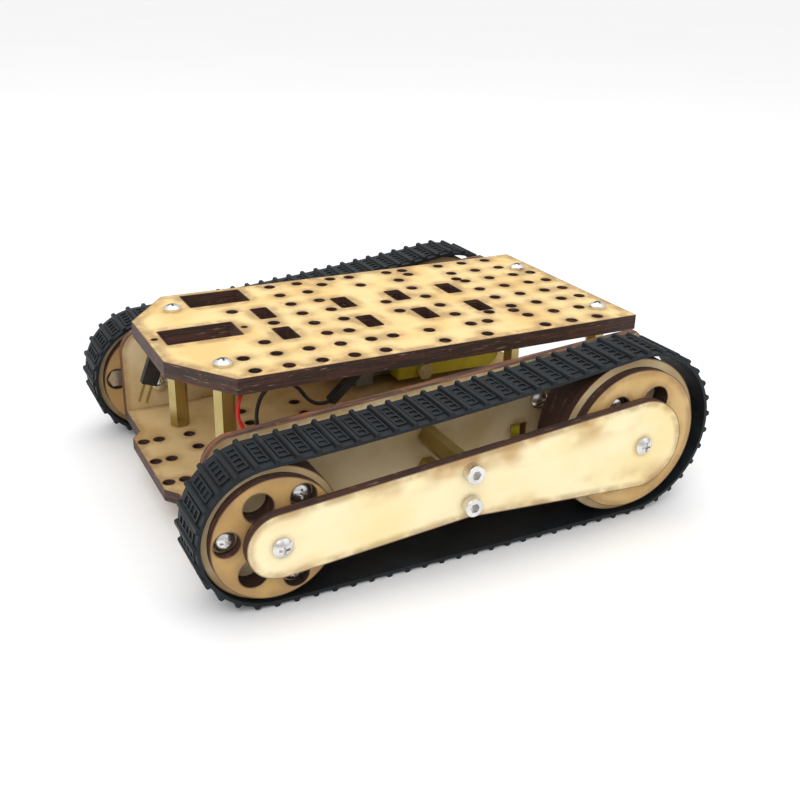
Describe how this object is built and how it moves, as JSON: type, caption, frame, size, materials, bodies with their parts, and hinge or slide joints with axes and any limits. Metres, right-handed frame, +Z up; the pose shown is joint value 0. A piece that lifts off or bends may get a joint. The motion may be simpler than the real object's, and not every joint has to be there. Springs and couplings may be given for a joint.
{
  "type": "tracked robot chassis",
  "caption": "Plywood robot chassis with a hole-grid deck, floor bay, two gear motors and rubber tracks on coupled disc wheels.",
  "frame": {"origin": "on the ground under the middle of the bounding box", "axes": "+X to the vehicle's left, +Y to its rear (it drives towards -Y), +Z up"},
  "size_m": [0.151, 0.1649, 0.055],
  "materials": {
    "black_lead": "soft sheath",
    "black_plastic": "moulded",
    "brass": "machined",
    "grey_plastic": "moulded",
    "motor_steel": "drawn can",
    "plated_steel": "bright plated",
    "ply_arm": "laser-cut plywood, pale face, charred edges",
    "ply_body": "laser-cut plywood, pale face, charred edges",
    "ply_charred": "stacked plywood discs, charred rims",
    "ply_deck": "laser-cut plywood, pale face, charred edges",
    "ply_wheel": "laser-cut plywood, smoked face",
    "red_lead": "soft sheath",
    "track_rubber": "moulded lugs",
    "white_plastic": "moulded",
    "yellow_plastic": "moulded"
  },
  "bodies": {
    "chassis": {"deck_plate": "ply_deck", "floor_plate": "ply_body", "side_plate_left": "ply_body", "side_plate_right": "ply_body", "outer_arm_left": "ply_arm", "outer_arm_right": "ply_arm", "deck_standoffs": "brass", "deck_screws": "plated_steel", "floor_screws": "plated_steel", "arm_standoffs": "brass", "arm_cap_screws": "plated_steel", "arm_inner_screws": "plated_steel", "front_axle_sleeves": "brass", "front_axle_screws": "plated_steel", "rear_pivot_screws": "plated_steel", "front_wheel_spacers": "white_plastic", "front_wheel_washers": "plated_steel", "gearbox_left": "yellow_plastic", "gearbox_right": "yellow_plastic", "motor_cans": "motor_steel", "motor_end_caps": "white_plastic", "motor_straps": "grey_plastic", "motor_screws": "plated_steel", "motor_nuts": "plated_steel", "track_left": "track_rubber", "track_right": "track_rubber", "lead_red_left": "red_lead", "lead_red_right": "red_lead", "lead_black_left": "black_lead", "lead_black_right": "black_lead", "plug_red_left": "black_plastic", "plug_black_left": "black_plastic", "plug_right": "black_plastic"},
    "front_wheel_left": {"front_wheel_covers_left": "ply_wheel", "front_wheel_drum_left": "ply_charred", "front_wheel_screws_left": "plated_steel", "front_wheel_nuts_left": "plated_steel"},
    "rear_wheel_left": {"rear_wheel_covers_left": "ply_wheel", "rear_wheel_drum_left": "ply_charred", "rear_wheel_screws_left": "plated_steel", "rear_wheel_nuts_left": "plated_steel", "rear_hub_left": "white_plastic", "motor_shaft_left": "white_plastic"},
    "front_wheel_right": {"front_wheel_covers_right": "ply_wheel", "front_wheel_drum_right": "ply_charred", "front_wheel_screws_right": "plated_steel", "front_wheel_nuts_right": "plated_steel"},
    "rear_wheel_right": {"rear_wheel_covers_right": "ply_wheel", "rear_wheel_drum_right": "ply_charred", "rear_wheel_screws_right": "plated_steel", "rear_wheel_nuts_right": "plated_steel", "rear_hub_right": "white_plastic", "motor_shaft_right": "white_plastic"}
  },
  "joints": [
    {"name": "rear_wheel_left_spin", "type": "hinge", "parent": "chassis", "child": "rear_wheel_left", "pos_m": [0.058, 0.0524, 0.0268], "axis": [1, 0, 0], "continuous": true},
    {"name": "front_wheel_left_spin", "type": "hinge", "parent": "chassis", "child": "front_wheel_left", "pos_m": [0.058, -0.0611, 0.0214], "axis": [1, 0, 0], "continuous": true},
    {"name": "rear_wheel_right_spin", "type": "hinge", "parent": "chassis", "child": "rear_wheel_right", "pos_m": [-0.058, 0.0524, 0.0268], "axis": [1, 0, 0], "continuous": true},
    {"name": "front_wheel_right_spin", "type": "hinge", "parent": "chassis", "child": "front_wheel_right", "pos_m": [-0.058, -0.0611, 0.0214], "axis": [1, 0, 0], "continuous": true}
  ],
  "couplings": [
    {"joint": "front_wheel_left_spin", "follows": "rear_wheel_left_spin", "ratio": 1.2812},
    {"joint": "front_wheel_right_spin", "follows": "rear_wheel_right_spin", "ratio": 1.2812}
  ]
}
